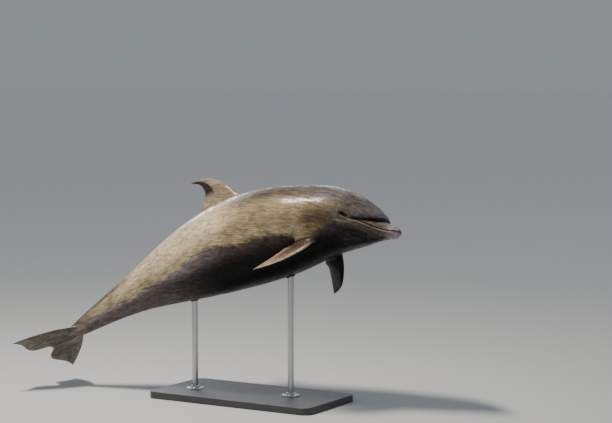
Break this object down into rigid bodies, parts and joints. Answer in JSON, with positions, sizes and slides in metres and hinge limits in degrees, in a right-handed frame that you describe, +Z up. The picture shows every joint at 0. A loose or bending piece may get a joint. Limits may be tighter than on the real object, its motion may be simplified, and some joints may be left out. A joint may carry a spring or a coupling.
{
  "type": "bottlenose dolphin model",
  "caption": "Life-size leaping bottlenose dolphin with a short beak, hooked dorsal fin, hanging flippers and level flukes, held by short rods on a flat display base.",
  "frame": {"origin": "centre of the display base's underside, on the floor", "axes": "+X towards the way the dolphin leaps and its beak, +Y towards its left side, +Z up"},
  "size_m": [2.5199, 0.9776, 1.387],
  "materials": {
    "skin": "wet, glossy skin, grey-brown on the head and back, golden tan on the flanks, dark underneath",
    "eye": "polished, nearly black",
    "plinth": "satin black lacquer",
    "rod": "fine brushed"
  },
  "bodies": {
    "root": {"head": "skin", "lower_jaw": "skin", "trunk": "skin", "tail_stock": "skin", "dorsal_fin": "skin", "flipper_left": "skin", "flipper_right": "skin", "fluke_left": "skin", "fluke_right": "skin", "eye_left": "eye", "eye_right": "eye", "stand_base": "plinth", "stand_rod_front": "rod", "stand_rod_rear": "rod", "stand_collar_front": "rod", "stand_collar_rear": "rod"}
  },
  "joints": []
}
